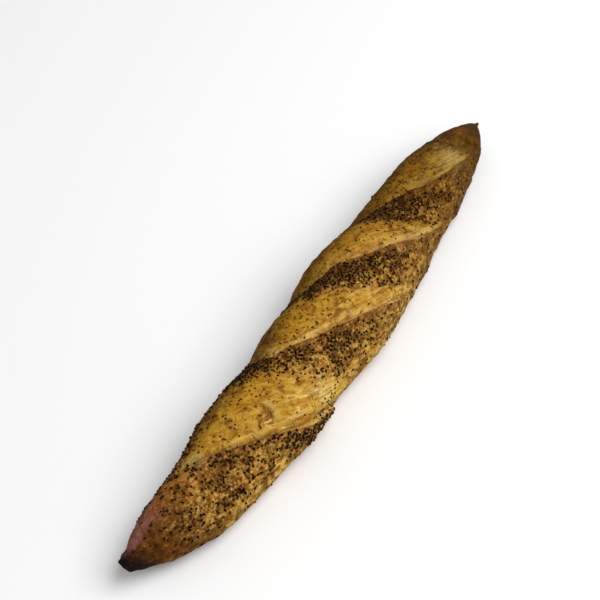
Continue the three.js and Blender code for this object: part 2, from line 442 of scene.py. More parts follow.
def relief(x, angle):
    """(height above the plain loaf, shift along the loaf) that slashes and marks give it."""
    height, shift = np.zeros(x.shape), np.zeros(x.shape)
    far = 1 - smooth_step(angle, *FAR_ANGLES)
    upright = 1 - LIP_UPRIGHT * smooth_step(angle, *UPRIGHT_ANGLES)
    for n, slash in enumerate(SLASHES):
        past = past_ear(n, x, angle)
        before = past <= ON_EDGE
        share = np.clip(past / curve_round(slash["open"], angle), 0, 1)
        strength = along_slash(slash["ends"], angle)
        ear = ear_height(n, angle)
        crest = ear * np.exp(-((np.minimum(past, 0) / EAR_ROOT) ** 2))
        drop = smooth_step(past, 0, LIP_DROP)
        behind = crest * (1 - drop) + dough_height(n, past, share, angle, far) * drop
        height += strength * np.where(before, crest, np.where(share < 1, behind, 0))
        height -= strength * far * slash["notch"] * np.exp(-((past / FAR_NOTCH_WIDTH) ** 2))
        tilt = np.where(before, np.exp(-((past / LIP_THIN) ** 2)), 1 - drop)
        shift += strength * LIP_LEAN * ear / EAR_HEIGHT * upright * tilt * (share < 1)
    for *place, bulge in HAND_MARKS:
        height += bulge * spot(x, angle, *place)
    groove, lip = crease(x, angle)
    return height - CREASE_DEPTH * (groove - CREASE_LIP * lip), shift


print("ears stand", EAR_HEIGHT, "mm above the crust, the dough swells by", DOUGH_SWELL, "mm")

# %% [markdown]
# ## From the plan to points on the crust
#
# Every point of the net has a place along the loaf and an angle round it, and this cell turns
# the two into x, y and z. The height follows the width, because dough that was rolled is nearly
# round. Above the widest line stands an arch, and below it a belly that the sole cuts flat. The
# relief raises the arch and widens the flanks. At the ends the skin rounds over, and each tip
# gets its own shape.

# %% Points in millimetres
def surface_point(x, angle):
    """Points of the crust in millimetres, for places along the loaf and angles round it."""
    along = x / LENGTH + 0.5
    turn = np.radians(angle)
    far = curve_through(PLACES, FAR_SIDE, along) * WIDTH / 2
    near = curve_through(PLACES, NEAR_SIDE, along) * WIDTH / 2
    half, spine = (far + near) / 2, (far - near) / 2
    tall = half * 2 * HEIGHT / WIDTH
    from_tip = np.minimum(1, (LENGTH / 2 - np.abs(x)) / np.where(x < 0, STUB_ROUND, TIP_ROUND))
    rounded = np.sqrt(np.maximum(0, 1 - (1 - from_tip) ** 2))
    rise = np.clip((np.abs(along - 0.5) - SOLE_REACH) / (0.5 - SOLE_REACH), 0, 1)
    sole = TIP_LIFT * rise**2
    lift, shift = relief(x, angle)
    side = np.sign(np.sin(turn)) * np.abs(np.sin(turn)) ** ARCH_POWER
    level = np.abs(np.cos(turn))
    up = ((1 - BELLY_SHARE) * tall + lift) * level**ARCH_POWER
    down = BELLY_SHARE * SOLE_CUT * tall * level**BELLY_POWER
    z = sole + BELLY_SHARE * tall + rounded * np.where(np.cos(turn) > 0, up, -down)
    y = spine - rounded * (half + lift) * side
    z = np.maximum(z, sole)
    blunt = np.maximum(x - LENGTH / 2 + BLUNT_END, 0) * BLUNT
    nub = NUB_LENGTH * np.maximum(1 - (LENGTH / 2 - x) / NUB_ROOT, 0)
    band = [LENGTH / 2 - inside for inside in TIP_CUT_BAND]
    slant = TIP_CUT[0] * (y - spine) + TIP_CUT[1] * (z - sole - tall / 2)
    slant = (slant - TIP_EXTRA) * smooth_step(-x, *band)
    return np.stack([x + shift * rounded + slant - blunt + nub, y, z + NUB_RISE * nub], axis=-1)


top = surface_point(np.array([0.0]), np.array([0.0]))[0]
print("the top line is", round(float(top[2]), 1), "mm high in the middle of the loaf")

# %% [markdown]
# ## Laying the net
#
# The sphere is added by its operator, with one ring of faces for each gap in the list of rings.
# Its poles become the two tips. Each point finds its ring from its height on the sphere and its
# column from its direction. The CAD loaf was centred on its box, and its own tip shows by how
# much, so the crust is moved the same way and lies exactly where the CAD loaf lies.
#
# The operator lists the faces of a sphere in an order that changes each time the script runs.
# The seeds are drawn from that list later, so it is sorted first. Otherwise every run would
# scatter them differently, even with seeded random numbers.

# %% Lay the net over the loaf
def sort_faces(mesh):
    """Lists a mesh's faces by their points, each starting from its first point."""
    points = [v.co[:] for v in mesh.vertices]
    faces = []
    for face in mesh.polygons:
        corners = list(face.vertices)
        first = corners.index(min(corners))
        faces.append(corners[first:] + corners[:first])
    mesh.clear_geometry()
    mesh.from_pydata(points, [], sorted(faces))


bpy.ops.object.select_all(action="DESELECT")
ring_count = sum(RINGS_IN_GAPS)
bpy.ops.mesh.primitive_uv_sphere_add(segments=COLUMNS, ring_count=ring_count, radius=1)
crust = bpy.context.object
crust.name = "crust"
sort_faces(crust.data)

ball = np.array([v.co for v in crust.data.vertices])
from_pole = np.arccos(np.clip(ball[:, 2], -1, 1)) / math.pi
ring = ring_count - np.round(from_pole * ring_count).astype(int)
heading = np.arctan2(ball[:, 1], ball[:, 0]) / (2 * math.pi)
column = (np.round(heading * COLUMNS).astype(int) + COLUMNS // 2) % COLUMNS
angle = column_angles[column]
x = ring_places(column_angles)[ring, column]
skin = surface_point(x, angle)

cad_tip = min(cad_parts["loaf"].data.vertices, key=lambda v: v.co.x).co
centring = cad_tip.y / MM - (FAR_SIDE[0] - NEAR_SIDE[0]) / 2 * WIDTH / 2
skin[:, 1] += centring
crust.data.vertices.foreach_set("co", (skin * MM).ravel())
crust.data.update()
print("crust points:", len(skin), "moved sideways by", round(centring, 2), "mm")

# %% [markdown]
# ## Zones that follow the slashes
#
# The colours and the seeds both follow the slashes, so each point of the net is told what it is.
# Bare dough is golden, and palest on the rim that tore open last, right behind the ear. The
# ear's own edge is thin and bakes brown. Before it the crust has a strip with few seeds. Toward
# +Y the seeds slid down and piled up instead, and the crust under them gets painted shade.
#
# All of these could be painted by hand, but worked out from the same lines as the shape, they
# fit it exactly.

# %% Bare dough, rims, edges and piles
SOFT_EDGE = 0.14        # share of the bare width over which seeds and colour come back
BARE_RAGGED = ((0.09, 8, 9, 31), (0.07, 3, 3, 32))    # share, degrees, mm and seed of its ripples
EDGE_WIDTH = 3.2        # how wide the brown edge of an ear is
RIM_WIDTH = 3           # the palest dough, right behind an ear
FOOT_GLOW = 12          # how far the dough stays paler, going on from there
STRIP_EDGE = (0.5, 1.3)    # the strip fades out between these shares of its width
PILE_BACK = 9           # the seeds piled up this far before an ear's line, with painted shade
PILE_WIDTH = 12         # over this width
PILE_ANGLES = (-5, 35)     # on the side toward +Y, which ends between these angles


def zones(x, angle):
    """For each point: bare dough, its pale rim, foot and folds, ear edge, strip, piled seeds with
    painted shade.
    """
    bare, rim, foot, fold, edge, strip, pile_and_shade = (np.zeros(x.shape) for _ in range(7))
    ragged = 1
    for share, turn, width, seed in BARE_RAGGED:
        ragged = ragged + share * wavering(angle / turn, x / width, seed)
    for n, slash in enumerate(SLASHES):
        past = past_ear(n, x, angle)
        shown = along_slash(slash["shows"], angle)
        behind, before = (past > ON_EDGE) * shown, (past <= ON_EDGE) * shown
        across = past / (curve_round(slash["bare"], angle) + ear_back(angle)) / ragged
        golden = behind * (1 - smooth_step(across, 1 - SOFT_EDGE, 1 + SOFT_EDGE / 2))
        bare = np.maximum(bare, golden)
        glow = behind * slash["glow"]
        rim = np.maximum(rim, glow * np.exp(-((past / RIM_WIDTH) ** 2)))
        foot = np.maximum(foot, glow * np.exp(-((past / FOOT_GLOW) ** 2)))
        fold = np.where(behind > 0, folds(n, past, angle), fold)
        edge = np.maximum(edge, before * np.exp(-((past / EDGE_WIDTH) ** 2)))
        free_of_seeds = (curve_round(slash["strip"], angle) + 0.1) * ragged
        strip = np.maximum(strip, before * (1 - smooth_step(-past / free_of_seeds, *STRIP_EDGE)))
        # toward +Y the seeds pile up before the ear, and so does the painted shade
        pile = np.exp(-(((past + PILE_BACK) / PILE_WIDTH) ** 2))
        pile = pile * (1 - smooth_step(angle, *PILE_ANGLES))
        pile_and_shade = np.maximum(pile_and_shade, (past <= ON_EDGE) * slash["pile_and_shade"] * pile)
    return bare, rim, foot, fold, edge, strip, pile_and_shade


def flow(x, angle):
    """Coordinates in millimetres that run across and along the slashes, for streaks."""
    across = past_ear(0, x, angle)
    for n in range(1, len(SLASHES)):
        past = past_ear(n, x, angle)
        across = np.where(past > ON_EDGE, past + 100 * n, across)
    return np.stack([across, angle * MM_PER_DEGREE, 0 * across], axis=1)


bare, rim, foot, fold, edge, strip, pile_and_shade = zones(x, angle)
print("bare dough covers", round(float(bare.mean()) * 100), "% of the points")

# %% [markdown]
# ## Zones that the oven made, and painted shade
#
# Other zones have fixed places. Both tips are thin and bake darkest, and the cut one is charred
# at its very end. The half toward +X had more heat than the other. The flank toward +Y faces away
# from the lamp and gets painted shade, while low on the flank toward -Y the crust stayed golden.
# Here and there a dusting of flour, an amber place or a rosy one is left.
#
# Each of these is a soft step along the loaf or round it, or one of the round spots from above.

# %% Tips, flanks and single places
UNDER = (112, 140)         # angles between which the underside begins
FAR_SHADE_ANGLES = (8, 62)        # angles toward +Y between which the painted shade on that flank begins
NEAR_SIDE_BEGINS = (-25, 45)    # angles between which the side toward -Y begins, which faces the lamp and gets painted highlights
CUT_TIP = (-188, -157)     # places between which the cut tip's brown ends
CHARRED = (-197, -187)     # and its charred end
SHARP_TIP = (147, 176)     # places between which the sharp tip's olive brown begins
SHARP_END = (167, 186)     # and its darkest part
SHARP_END_SHARE = 0.9
HOTTER = (-10, 165)        # places between which the heat grew
LESS_HOT = (146, 36, 13, 50)    # a spot: place, angle, and its reach along and round the loaf
# a spot where the painted shade on the flank toward +Y is thinner
LESS_SHADE_SPOT = (-146, -46, 22, 26)
AMBER_SPOT = (-158, -36, 28, 36)
ROSY_SPOT = (176, -6, 6, 16)
FLOUR_SPOTS = [(-136, -24, 5, 12), (-56, 62, 9, 16), (143, 18, 11, 18)]
LOW_GOLD = (56, 88)        # angles between which the low gold begins
LOW_GOLD_PLACES = ((-178, -136), (20, 100))    # places between which it comes and goes
LOW_GOLD_RISE = (12, -60, -20)    # it begins this many degrees higher, between these places
BROWN_SPOT = (-68, 87, 21, 24)    # a brown place in it

under = smooth_step(np.abs(angle), *UNDER)
near_tip = 1 - smooth_step(x - 0.25 * np.maximum(angle - 40, 0), *CUT_TIP)
burnt = 1 - smooth_step(x - 0.04 * angle, *CHARRED)
far_tip = smooth_step(x + 0.2 * np.maximum(angle, 0), *SHARP_TIP)
far_end = SHARP_END_SHARE * smooth_step(x, *SHARP_END)
bake = smooth_step(x, *HOTTER) * (1 - 0.4 * spot(x, angle, *LESS_HOT))
# painted shade on the flank toward +Y, which faces away from the lamp, less on the cut tip
far_flank_shade = smooth_step(-angle, *FAR_SHADE_ANGLES) * (1 - under)
far_flank_shade *= (1 - 0.5 * near_tip) * (1 - 0.85 * spot(x, angle, *LESS_SHADE_SPOT))
flour = sum(spot(x, angle, *place) for place in FLOUR_SPOTS)
rise, rise_from, rise_to = LOW_GOLD_RISE
comes, goes = LOW_GOLD_PLACES
low_gold = smooth_step(angle + rise * smooth_step(x, rise_from, rise_to), *LOW_GOLD)
low_gold = low_gold * (1 - under) * (1 - smooth_step(x, *goes))
low_gold *= smooth_step(x, *comes) * (1 - spot(x, angle, *BROWN_SPOT))
print("charred points:", int((burnt > 0.5).sum()), "underside:", int((under > 0.5).sum()))

# %% [markdown]
# ## Keeping the zones on the mesh
#
# The material and the sowing of the seeds both read the zones later, so they are stored on the
# mesh as named attributes, one number or vector for each point. That keeps them in step with the
# surface whatever is done to it next. The seeds lie in clumps, which are a finer zone of random
# patches, and the crust gets painted shade where they lie thick.

# %% Store the zones
CLUMPS = ((0.65, 7, 12, 41), (1, 2.6, 5, 42))    # height, mm, degrees and seed of the two patterns
NO_CLUMPS = (-157, 8, 11, 15)      # a spot with hardly any
FEW_CLUMPS = (-158, 56, 12, 13)    # and one with few

clumps = 0.5
for height, width, turn, seed in CLUMPS:
    clumps = clumps + height * wavering(x / width, angle / turn, seed)
clumps = np.clip(clumps, 0, 1)
clumps *= 1 - spot(x, angle, *NO_CLUMPS) - 0.6 * spot(x, angle, *FEW_CLUMPS)


def store(mesh, name, values):
    """Writes one number or one vector for each point of a mesh as a named attribute."""
    values = np.asarray(values, np.float32)
    kind, field = ("FLOAT", "value") if values.ndim == 1 else ("FLOAT_VECTOR", "vector")
    mesh.attributes.new(name, kind, "POINT").data.foreach_set(field, values.ravel())


stored = {
    "bare": bare, "rim": rim, "foot": foot, "fold": fold, "edge": edge, "pile_and_shade": pile_and_shade,
    "under": under, "near_tip": near_tip, "burnt": burnt, "far_tip": far_tip, "far_end": far_end,
    "far_flank_shade": far_flank_shade, "near_side": smooth_step(angle, *NEAR_SIDE_BEGINS),
    "low_gold": low_gold, "bake": bake, "flour": flour, "clump_shade": clumps,
    "amber": spot(x, angle, *AMBER_SPOT), "rosy": spot(x, angle, *ROSY_SPOT),
    "groove": crease(x, angle)[0], "lip": crease(x, angle)[1], "flow": flow(x, angle),
}
for name, values in stored.items():
    store(crust.data, name, values)
print("zones stored:", len(stored))

# %% [markdown]
# ## Lumps and skin
#
# Under its pattern of slashes the crust is uneven everywhere. Displace modifiers move the surface
# in and out by soft clouds, as a sculptor's brushes would. A broad one gives the loaf lumps as
# wide as a thumb, a second one raises blisters, and a fine one gives the crust its pebbling. A
# vertex group keeps all of them off the sole, which baked flat against the tray.

# %% Push the surface in and out
LUMP_SIZE, LUMP_HEIGHT = 24, 1.3
BLISTER_SIZE, BLISTER_HEIGHT = 6, 1.4
PEBBLE_SIZE, PEBBLE_HEIGHT = 2.6, 0.6
SEATED = (150, 175)     # the sole lies flat up to between these distances from the middle
GROUP_STEPS = 10        # the group's weights are given in this many steps

seated = under * (1 - smooth_step(np.abs(x), *SEATED))
free = crust.vertex_groups.new(name="free")
for step in range(GROUP_STEPS + 1):
    members = np.flatnonzero(np.round((1 - seated) * GROUP_STEPS) == step)
    free.add(members.tolist(), step / GROUP_STEPS, "REPLACE")


def push(piece, name, size, height):
    """Moves the surface in and out by soft clouds of the given size, both in millimetres."""
    clouds = bpy.data.textures.new(name, "CLOUDS")
    clouds.noise_scale = size * MM
    modifier = piece.modifiers.new(name, "DISPLACE")
    modifier.texture = clouds
    modifier.texture_coords = "LOCAL"
    modifier.strength = height * MM
    modifier.mid_level = 0.5
    modifier.vertex_group = "free"
    bpy.ops.object.modifier_apply(modifier=name)


push(crust, "lumps", LUMP_SIZE, LUMP_HEIGHT)
push(crust, "blisters", BLISTER_SIZE, BLISTER_HEIGHT)
push(crust, "pebbles", PEBBLE_SIZE, PEBBLE_HEIGHT)
bpy.ops.object.shade_smooth()
skin = np.array([v.co for v in crust.data.vertices]) / MM
outward = np.array([v.normal for v in crust.data.vertices])
lowest, highest = float(skin[:, 2].min()), float(skin[:, 2].max())
print("crust height:", round(highest, 1), "mm, lowest:", round(lowest, 2))

# %% [markdown]
# ## A kit for materials
#
# A material could be wired by hand in the shader editor. Written out in code, each node would
# take several lines, and the recipe would be hard to follow. This small kit adds a node and
# links it in one call. Its patterns read Object coordinates, so they stay in place on the loaf.
#
# Most of the recipe is done by two calls. "span" turns a value into a share: low gives to_low,
# high gives to_high, with a soft step in between. "mix" then lays one colour over another by
# that share.

# %% A small kit for node materials
def srgb(red, green, blue):
    """A colour given as 0 to 255 screen values, turned into the linear numbers shaders use."""
    screen = (red / 255, green / 255, blue / 255)
    linear = [((c + 0.055) / 1.055) ** 2.4 if c > 0.04 else c / 12.92 for c in screen]
    return (*linear, 1)


class NodeKit:
    """Adds nodes to one material and links them, so a recipe reads from top to bottom."""

    def __init__(self, name):
        self.material = bpy.data.materials.new(name)
        self.material.use_nodes = True
        self.tree = self.material.node_tree
        self.shader = self.tree.nodes["Principled BSDF"]
        self.place = self.add("ShaderNodeTexCoord").outputs["Object"]

    def add(self, kind, **settings):
        """A new node with the given settings."""
        node = self.tree.nodes.new(kind)
        for key, value in settings.items():
            setattr(node, key, value)
        return node

    def link(self, source, target):
        """Links another node's output to a socket, or sets the socket to a plain value."""
        if hasattr(source, "is_output"):
            self.tree.links.new(source, target)
        else:
            target.default_value = source

    def attribute(self, name, output="Fac"):
        """A zone that is stored on the mesh."""
        return self.add("ShaderNodeAttribute", attribute_name=name).outputs[output]

    def noise(self, scale, detail=3, roughness=0.6, where=None, curl=0.0):
        """Soft random patches from 0 to 1, about 1 / scale metres wide."""
        node = self.add("ShaderNodeTexNoise")
        node.inputs["Distortion"].default_value = curl
        node.inputs["Scale"].default_value = scale
        node.inputs["Detail"].default_value = detail
        node.inputs["Roughness"].default_value = roughness
        self.link(where or self.place, node.inputs["Vector"])
        return node.outputs["Fac"]

    def specks(self, scale, size):
        """1 on small round specks at random places, 0 between them."""
        node = self.add("ShaderNodeTexVoronoi")
        node.inputs["Scale"].default_value = scale
        self.link(self.place, node.inputs["Vector"])
        return self.span(node.outputs["Distance"], size, size * 0.5)

    def stretched(self, vector, scales):
        """Coordinates scaled differently along x, y and z."""
        node = self.add("ShaderNodeVectorMath", operation="MULTIPLY")
        self.link(vector, node.inputs[0])
        node.inputs[1].default_value = scales
        return node.outputs["Vector"]

    def span(self, value, low, high, to_low=0.0, to_high=1.0):
        """A soft step: low and less gives to_low, high and more gives to_high."""
        node = self.add("ShaderNodeMapRange", interpolation_type="SMOOTHSTEP")
        self.link(value, node.inputs["Value"])
        node.inputs["From Min"].default_value = low
        node.inputs["From Max"].default_value = high
        node.inputs["To Min"].default_value = to_low
        node.inputs["To Max"].default_value = to_high
        return node.outputs["Result"]

    def both(self, a, b):
        """The product of two shares: 1 only where both are."""
        node = self.add("ShaderNodeMath", operation="MULTIPLY")
        self.link(a, node.inputs[0])
        self.link(b, node.inputs[1])
        return node.outputs["Value"]

    def mix(self, share, a, b, blend="MIX"):
        """Colour a with the given share of colour b laid over it."""
        node = self.add("ShaderNodeMix", data_type="RGBA", blend_type=blend)
        self.link(share, node.inputs["Factor"])
        self.link(a, node.inputs["A"])
        self.link(b, node.inputs["B"])
        return node.outputs["Result"]

    def bump(self, height, distance, strength=1.0, under=None):
        """A finely uneven surface, added to the one given as under."""
        node = self.add("ShaderNodeBump")
        node.inputs["Distance"].default_value = distance
        node.inputs["Strength"].default_value = strength
        self.link(height, node.inputs["Height"])
        if under:
            self.link(under, node.inputs["Normal"])
        return node.outputs["Normal"]


kit = NodeKit("baked crust")
print("the kit starts on the material:", kit.material.name)

# %% [markdown]
# ## Colours and patterns of the crust
#
# Crust is dark where it is thin and raised, gold where fresh dough came up late in the bake, and
# mottled everywhere because moisture left it unevenly. One noise could not show that, because
# the mottling is of several sizes at once: patches of two centimetres, blotches of eight
# millimetres, then mottle and grain. The streaks are noise as well, but on the coordinates that
# run with the slashes, so they follow the torn dough.

# %% Colours and noises
GOLD = srgb(184, 136, 36)
YELLOW = srgb(208, 172, 78)
DEEP_GOLD = srgb(142, 86, 14)
CREAM = srgb(240, 212, 138)
CRUST = srgb(150, 102, 34)
BROWN = srgb(78, 44, 10)
PALE_CRUST = srgb(212, 164, 84)
AMBER = srgb(168, 98, 34)
EAR_BROWN = srgb(118, 72, 36)
FLOUR = srgb(220, 202, 134)
# a painted cool sheen on the cut tip
MAUVE_SHEEN = srgb(134, 84, 82)
TIP_BROWN = srgb(76, 38, 4)
ROSY = srgb(150, 84, 50)
CHAR = srgb(26, 17, 14)
OLIVE = srgb(94, 60, 4)
DARK_OLIVE = srgb(62, 40, 0)
SHADE = srgb(160, 152, 116)     # laid over a colour by multiplying, this paints shade on it
BAKED = srgb(182, 171, 140)     # and this browns it
STREAK_SCALES = (0.3, 0.16, 1)  # across the slashes and along them

across = kit.attribute("flow", "Vector")
fold = kit.attribute("fold")
near_side = kit.attribute("near_side")
along_tear = kit.stretched(across, STREAK_SCALES)
streaks = kit.noise(1, detail=4, roughness=0.6, where=along_tear, curl=1.2)
patches = kit.noise(45, detail=4, roughness=0.6)
blotches = kit.noise(130, detail=4, roughness=0.65, curl=0.8)
mottle = kit.noise(300, detail=3, roughness=0.7)
grain = kit.noise(640, detail=3, roughness=0.7)
print("nodes so far:", len(kit.tree.nodes))

# %% [markdown]
# ## Golden dough
#
# The dough that swelled out of a slash starts as plain gold. Patches, blotches and streaks of
# deeper gold and yellow break it up, and the hollows of its folds get painted shade. On the lit
# side toward -Y, yellow patches, cream streaks and cream on the crests of the folds are painted
# highlights. Toward +Y it is freckled with brown. The rim behind the ear is palest of all, and
# the curled tear gets a groove of painted shade and a painted highlight on its raised edge.

# %% Mix the gold
# yellow patches on the lit side toward -Y: a painted highlight
gold = kit.mix(kit.both(near_side, kit.span(patches, 0.38, 0.6, 0.1, 0.7)), GOLD, YELLOW)
gold = kit.mix(kit.span(blotches, 0.47, 0.6, 0, 0.85), gold, DEEP_GOLD)
gold = kit.mix(kit.span(streaks, 0.52, 0.64, 0, 0.45), gold, DEEP_GOLD)
gold = kit.mix(kit.span(streaks, 0.46, 0.36, 0, 0.4), gold, YELLOW)
gold = kit.mix(kit.span(mottle, 0.52, 0.66, 0, 0.6), gold, DEEP_GOLD)
gold = kit.mix(kit.span(grain, 0.5, 0.66, 0, 0.5), gold, YELLOW)
# painted shade in the hollows of the folds
gold = kit.mix(kit.span(fold, 0.0, -0.6, 0, 0.6), gold, DEEP_GOLD)

toasted = kit.both(kit.span(patches, 0.42, 0.6), kit.span(blotches, 0.5, 0.64, 0, 0.45))
gold = kit.mix(toasted, gold, TIP_BROWN)
# cream on the streaks and on the crests of the folds, on the lit side toward -Y: painted
# highlights
gold = kit.mix(kit.both(near_side, kit.span(streaks, 0.42, 0.32, 0, 0.6)), gold, CREAM)
gold = kit.mix(kit.both(near_side, kit.span(fold, 0.05, 0.7, 0, 0.45)), gold, CREAM)

far_half = kit.span(near_side, 1.0, 0.2, 0.25, 0.85)
gold = kit.mix(kit.both(far_half, kit.span(grain, 0.57, 0.67)), gold, BROWN)
gold = kit.mix(kit.both(far_half, kit.specks(270, 0.3)), gold, BROWN)

pale_foot = kit.both(kit.attribute("foot"), kit.span(mottle, 0.6, 0.36, 0.0, 0.45))
gold = kit.mix(pale_foot, gold, CREAM)
pale_rim = kit.both(kit.attribute("rim"), kit.span(blotches, 0.4, 0.58, 0.15, 1.0))
gold = kit.mix(pale_rim, gold, CREAM)
# painted shade in the groove of the curled tear
groove = kit.both(kit.attribute("groove"), kit.span(mottle, 0.35, 0.6, 1.0, 0.7))
gold = kit.mix(groove, gold, BROWN)
# a painted highlight on its raised edge
lip = kit.both(kit.attribute("lip"), kit.span(mottle, 0.35, 0.6, 0.1, 0.5))
gold = kit.mix(lip, gold, CREAM)
print("nodes so far:", len(kit.tree.nodes))

# %% [markdown]
# ## Seeded crust
#
# The skin that was never cut had the whole bake, so it is brown with paler grain, and painted
# shade darkens it under the clumps of seeds and where they piled up before the ears. Its low
# flank keeps some of the gold. The thin edges of the ears turn a greyer brown, and one amber place
# near the cut tip glows through.

# %% Mix the brown
brown = kit.mix(kit.span(patches, 0.42, 0.6, 0, 0.75), CRUST, BROWN)
brown = kit.mix(kit.attribute("low_gold"), brown, gold)
brown = kit.mix(kit.span(blotches, 0.5, 0.4, 0, 0.3), brown, PALE_CRUST)
brown = kit.mix(kit.span(grain, 0.5, 0.62, 0, 0.8), brown, PALE_CRUST)
brown = kit.mix(kit.span(mottle, 0.48, 0.62, 0, 0.75), brown, BROWN)
flecks = kit.both(kit.specks(400, 0.4), kit.span(patches, 0.62, 0.4, 0.25, 0.85))
brown = kit.mix(flecks, brown, PALE_CRUST)

# painted shade between the seeds where they lie in clumps
brown = kit.mix(kit.span(kit.attribute("clump_shade"), 0.2, 0.9, 0, 0.6), brown, BROWN)
# painted shade on the crust where the seeds piled up before the ears toward +Y
brown = kit.mix(kit.span(kit.attribute("pile_and_shade"), 0, 1, 0, 0.75), brown, BROWN)
ear_edge = kit.both(kit.attribute("edge"), kit.span(mottle, 0.42, 0.58, 0.9, 0.0))
brown = kit.mix(ear_edge, brown, EAR_BROWN)
amber = kit.attribute("amber")
brown = kit.mix(kit.both(amber, kit.span(mottle, 0.4, 0.6, 0.9, 0.2)), brown, AMBER)
brown = kit.mix(kit.both(amber, kit.span(blotches, 0.5, 0.6, 0, 0.8)), brown, BROWN)
print("nodes so far:", len(kit.tree.nodes))

# %% [markdown]
# ## Both together, with flour, painted shade and heat
#
# The zone of bare dough chooses between brown and gold. A little flour stuck to the streaks in
# three places. The painted shade on the flank toward +Y and the browning of the hotter half are
# laid over everything by multiplying, because shade and browning darken each colour by a share
# and don't cover it.

# %% Lay them over the loaf
colour = kit.mix(kit.attribute("bare"), brown, gold)
dusted = kit.both(kit.attribute("flour"), kit.span(streaks, 0.62, 0.4, 0.15, 0.68))
colour = kit.mix(dusted, colour, FLOUR)
# painted shade on the flank toward +Y
colour = kit.mix(kit.attribute("far_flank_shade"), colour, SHADE, "MULTIPLY")
colour = kit.mix(kit.attribute("bake"), colour, BAKED, "MULTIPLY")
print("nodes so far:", len(kit.tree.nodes))

# %% [markdown]
# ## The two tips
#
# The tips had the most heat. The sharp one is olive brown with a rosy place, and nearly plain
# dark brown at its end. The cut one is brown with amber mottling toward -Y and a painted cool
# sheen of mauve toward +Y, speckled with black, and charred where it was cut.

# %% Darken the tips
olive = kit.mix(kit.span(mottle, 0.42, 0.6), OLIVE, DARK_OLIVE)
olive = kit.mix(kit.span(blotches, 0.5, 0.62, 0, 0.8), olive, TIP_BROWN)
rosy = kit.both(kit.attribute("rosy"), kit.span(mottle, 0.4, 0.6, 0.7, 0.2))
olive = kit.mix(rosy, olive, ROSY)
sharp = kit.both(kit.attribute("far_tip"), kit.span(blotches, 0.4, 0.6, 0.95, 0.75))
colour = kit.mix(sharp, colour, olive)
dark_end = kit.mix(kit.span(mottle, 0.45, 0.6), DARK_OLIVE, BROWN)
colour = kit.mix(kit.attribute("far_end"), colour, dark_end)

# toward +Y the cut tip's brown turns mauve, a painted cool sheen
tip = kit.mix(kit.span(near_side, 0.0, 0.35), MAUVE_SHEEN, TIP_BROWN)
tip = kit.mix(kit.span(mottle, 0.5, 0.64, 0, 0.45), tip, AMBER)
tip = kit.mix(kit.span(blotches, 0.4, 0.68, 0, 0.75), tip, TIP_BROWN)
tip = kit.mix(kit.specks(230, 0.36), tip, CHAR)
blunt = kit.both(kit.attribute("near_tip"), kit.span(mottle, 0.4, 0.6, 1.0, 0.7))
colour = kit.mix(blunt, colour, tip)
charred = kit.mix(kit.span(mottle, 0.56, 0.74), CHAR, TIP_BROWN)
colour = kit.mix(kit.attribute("burnt"), colour, charred)
print("nodes so far:", len(kit.tree.nodes))

# %% [markdown]
# ## The finish of the crust
#
# Crust has a faint sheen at most, so it reflects little, and its roughness varies only a bit with
# the mottle. What is too fine for the net comes from bump: blotches, streaks and mottle, each
# laid over the one before. Distances in the material are in metres.

# %% Gloss and grain
CRUST_SPECULAR = 0.03

kit.link(colour, kit.shader.inputs["Base Color"])
kit.link(kit.span(mottle, 0.3, 0.7, 0.5, 0.75), kit.shader.inputs["Roughness"])
kit.shader.inputs["Specular IOR Level"].default_value = CRUST_SPECULAR
rough = kit.bump(blotches, distance=0.002, strength=0.8)
rough = kit.bump(streaks, distance=0.001, strength=0.4, under=rough)
rough = kit.bump(mottle, distance=0.0012, strength=0.8, under=rough)
kit.link(rough, kit.shader.inputs["Normal"])
crust.data.materials.append(kit.material)
print("crust nodes:", len(kit.tree.nodes))

# %% [markdown]
# ## One poppy seed
#
# A poppy seed is a tiny kidney. Many are barely over a millimetre long. These are plump ones of
# about two, so that each still reads as a seed from an arm's length away. A seed that is copied
# a couple of thousand times must be light, so it is a sphere primitive with two dozen faces,
# pushed in on one side.

# %% Model one seed
SEED_LONG, SEED_WIDE, SEED_TALL = 2.15, 1.7, 1.35
SEED_DENT = 0.16        # how deep its side is pushed in, as a share of its width
DENT_REACH = 0.25       # and how far the dent reaches, as a share of its length

bpy.ops.object.select_all(action="DESELECT")
bpy.ops.mesh.primitive_uv_sphere_add(segments=6, ring_count=4, radius=0.5)
seed = bpy.context.object
sort_faces(seed.data)
seed_shape = np.array([v.co for v in seed.data.vertices])
dent = np.exp(-((seed_shape[:, 0] / DENT_REACH) ** 2)) * (seed_shape[:, 1] < 0)
seed_shape[:, 1] += SEED_DENT * dent
seed_shape *= (SEED_LONG, SEED_WIDE, SEED_TALL)
seed_faces = [list(p.vertices) for p in seed.data.polygons]
bpy.data.objects.remove(seed)
print("one seed has", len(seed_faces), "faces")

# %% [markdown]
# ## How thick the seeds lie
#
# The loaf was rolled through the seeds while its skin was damp, before it was slashed. So they
# are thick on the crust between the slashes, in clumps, and thin on the strips beside the ears.
# Hardly any lie on the bare dough, which came up later. They rubbed off the tips, the lower
# flanks and most of the flank toward +Y. A particle system could scatter them, but a number for
# each point of the net, worked out from its zones, says exactly where they are.

# %% Thickness of the sowing
CRUST_SEEDS = 0.05      # between the clumps, where the middle of a clump has 1 more
PILED_SEEDS = 1.3       # where they piled up
DOUGH_SEEDS = 0.04      # on bare dough
STRAY_SEEDS = (-58, 80, 11, 10)       # a spot of dough that got some
LOW_SEEDS = (60, 86)    # angles between which they end toward -Y
LOW_SEEDS_RISE = (20, -60, -20)       # they end this many degrees higher, between these places
LOW_SEEDS_MORE = (-70, 88, 25, 30)    # but lower in this spot
THIN_SPOTS = [(0.9, (-172, -40, 28, 32)), (0.5, (-162, 0, 14, 18))]   # the share missing in each

